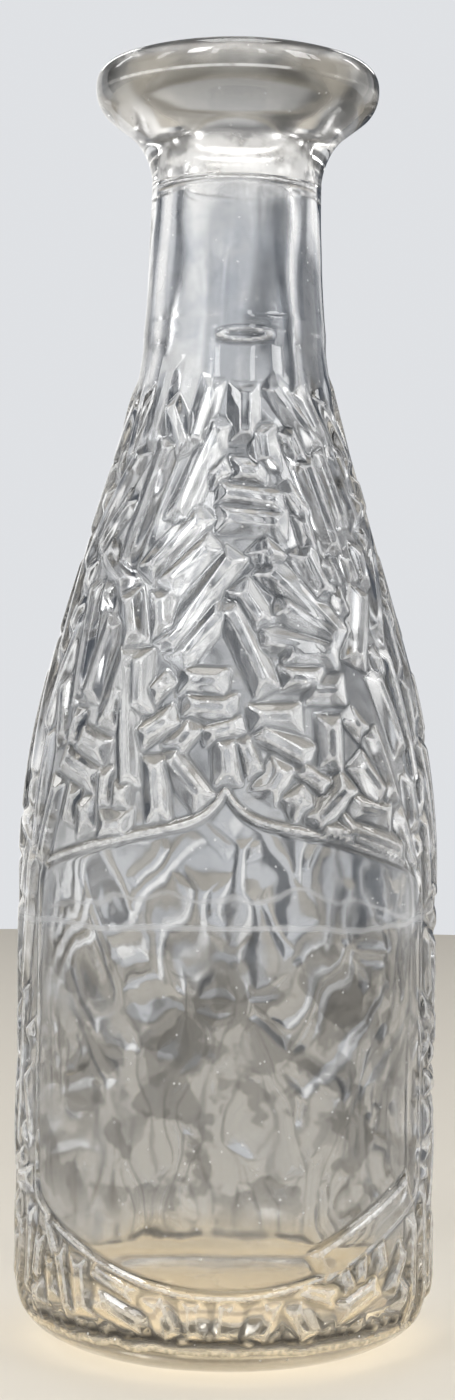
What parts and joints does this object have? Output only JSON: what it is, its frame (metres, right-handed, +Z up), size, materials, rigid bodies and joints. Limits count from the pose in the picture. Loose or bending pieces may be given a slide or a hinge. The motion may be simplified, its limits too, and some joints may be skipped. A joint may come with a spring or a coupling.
{
  "type": "glass bottle",
  "caption": "Clear moulded glass bottle with a smooth front panel under raised stick relief, sloping shoulders and an applied flared lip.",
  "frame": {"origin": "centre of the base, on the plane that the bottle stands on", "axes": "+Z up along the bottle's axis, -Y towards the smooth front panel, +X to the right seen from the front"},
  "size_m": [0.076, 0.076, 0.23],
  "materials": {
    "body_glass": "clear moulded glass, aged and a little dusty",
    "lip_glass": "clear tooled glass, fire-polished, faint straw tint"
  },
  "bodies": {
    "root": {"bottle_body": "body_glass", "applied_lip": "lip_glass"}
  },
  "joints": []
}
